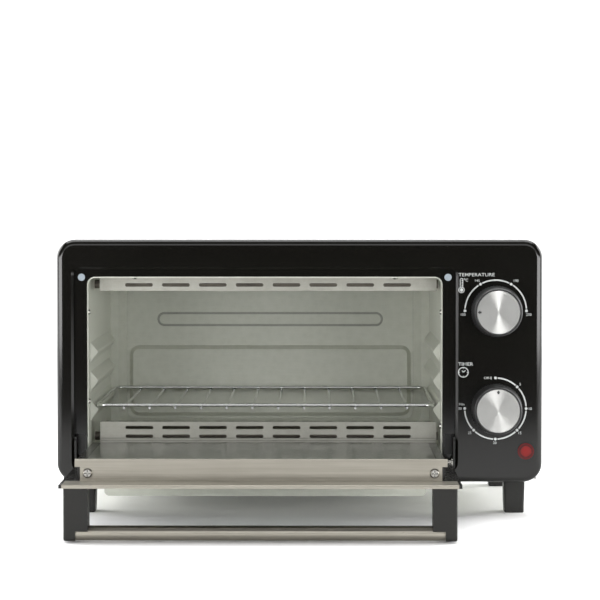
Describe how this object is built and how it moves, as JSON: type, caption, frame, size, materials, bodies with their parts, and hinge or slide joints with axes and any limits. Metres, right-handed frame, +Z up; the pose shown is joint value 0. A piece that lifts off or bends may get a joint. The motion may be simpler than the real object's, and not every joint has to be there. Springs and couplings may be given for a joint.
{
  "type": "toaster oven",
  "caption": "Small bench-top toaster oven with a drop-down glass door, a wire rack, a crumb tray and a side panel with temperature and timer knobs.",
  "frame": {"origin": "on the surface under the feet, below the middle of the whole oven with its door open", "axes": "+X to the right seen from the front, +Y to the back, +Z up"},
  "size_m": [0.36, 0.3732, 0.206],
  "materials": {
    "black_plastic": "satin moulded black",
    "handle_plastic": "moulded black",
    "foot_plastic": "moulded black",
    "knob_plastic": "moulded black with a grooved grip",
    "switch_plastic": "moulded switch housing",
    "black_paint": "satin black paint",
    "door_frame_black": "satin black paint",
    "galvanised_steel": "aluminised sheet, soft sheen",
    "brushed_steel": "brushed lengthwise",
    "spun_aluminium": "spun face",
    "bright_steel": "plated",
    "dark_screws": "blackened",
    "rack_chrome": "plated wire",
    "heater_steel": "heat-darkened tube",
    "insulator_ceramic": "unglazed",
    "grey_rubber": "soft grey",
    "red_lens": "clear red",
    "door_glass": "clear tempered"
  },
  "bodies": {
    "oven": {"front_frame": "black_plastic", "mouth_ring": "galvanised_steel", "mouth_screws": "bright_steel", "cavity_left_wall": "galvanised_steel", "cavity_right_wall": "galvanised_steel", "cavity_roof": "galvanised_steel", "cavity_back": "galvanised_steel", "upper_heater_guard": "galvanised_steel", "lower_heater_guard": "galvanised_steel", "upper_front_heater": "heater_steel", "upper_rear_heater": "heater_steel", "lower_front_heater": "heater_steel", "lower_rear_heater": "heater_steel", "heater_insulators": "insulator_ceramic", "outer_casing": "black_paint", "back_cover": "black_paint", "cover_screws": "dark_screws", "base_plate": "galvanised_steel", "front_left_foot": "foot_plastic", "rear_left_foot": "foot_plastic", "front_right_foot": "foot_plastic", "rear_right_foot": "foot_plastic", "foot_screws": "bright_steel", "tray_runners": "galvanised_steel", "left_hinge_bracket": "black_paint", "right_hinge_bracket": "black_paint", "door_bumpers": "grey_rubber", "thermostat_body": "switch_plastic", "timer_body": "switch_plastic", "timer_bell": "bright_steel", "bush_nuts": "bright_steel", "control_bracket": "galvanised_steel", "heat_shield": "galvanised_steel", "lamp_lens": "red_lens", "lamp_body": "switch_plastic", "terminal_block": "switch_plastic", "cord_gland": "foot_plastic"},
    "door": {"door_left_side": "door_frame_black", "door_right_side": "door_frame_black", "door_bottom_rail": "door_frame_black", "door_glass": "door_glass", "door_top_rail": "brushed_steel", "rail_screws": "bright_steel", "left_handle_post": "handle_plastic", "right_handle_post": "handle_plastic", "handle_bar": "brushed_steel", "hinge_pins": "bright_steel"},
    "rack": {"wire_rack": "rack_chrome"},
    "crumb_tray": {"crumb_tray": "galvanised_steel"},
    "temperature_dial": {"temperature_knob": "knob_plastic", "temperature_knob_face": "spun_aluminium", "thermostat_shaft": "bright_steel"},
    "timer_dial": {"timer_knob": "knob_plastic", "timer_knob_face": "spun_aluminium", "timer_shaft": "bright_steel"}
  },
  "joints": [
    {"name": "door_hinge", "type": "hinge", "parent": "oven", "child": "door", "pos_m": [-0.0257, -0.0434, 0.0404], "axis": [-1, 0, 0], "range_deg": [0, 90]},
    {"name": "rack_slide", "type": "slide", "parent": "oven", "child": "rack", "axis": [0, 1, 0], "range_m": [-0.13, 0]},
    {"name": "crumb_tray_slide", "type": "slide", "parent": "oven", "child": "crumb_tray", "axis": [0, 1, 0], "range_m": [-0.11, 0]},
    {"name": "temperature_turn", "type": "hinge", "parent": "oven", "child": "temperature_dial", "pos_m": [0.1459, -0.0464, 0.15308], "axis": [0, 1, 0], "range_deg": [0, 180]},
    {"name": "timer_turn", "type": "hinge", "parent": "oven", "child": "timer_dial", "pos_m": [0.1459, -0.0464, 0.08063], "axis": [0, 1, 0], "range_deg": [0, 270]}
  ]
}
